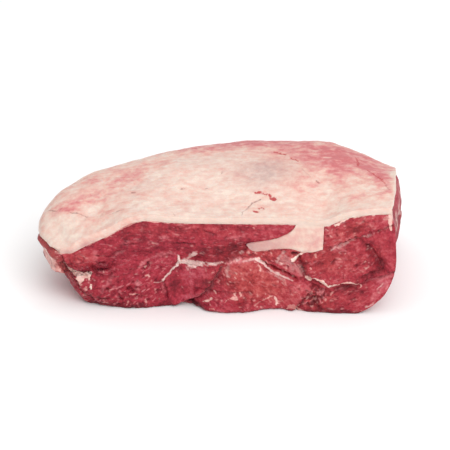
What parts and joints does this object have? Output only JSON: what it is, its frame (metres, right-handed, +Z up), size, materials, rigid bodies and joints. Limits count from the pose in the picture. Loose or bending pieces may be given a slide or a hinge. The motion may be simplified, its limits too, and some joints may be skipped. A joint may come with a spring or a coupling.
{
  "type": "boneless lamb rump",
  "caption": "Raw boneless lamb rump: a block of lean cut square at the front and one end, under a domed cap of fat with a wedge of seam fat.",
  "frame": {"origin": "middle of the bounding box, at the cut base it lies on", "axes": "+X along the cut from its thin left end to its square right end, +Y from the cut front to the rounded back, +Z up through the fat cap"},
  "size_m": [0.1433, 0.0858, 0.0448],
  "materials": {
    "lean": "moist raw muscle, satin to wet",
    "fat": "waxy, cream to pink"
  },
  "bodies": {
    "root": {"lean": "lean", "fat_cap": "fat"}
  },
  "joints": []
}
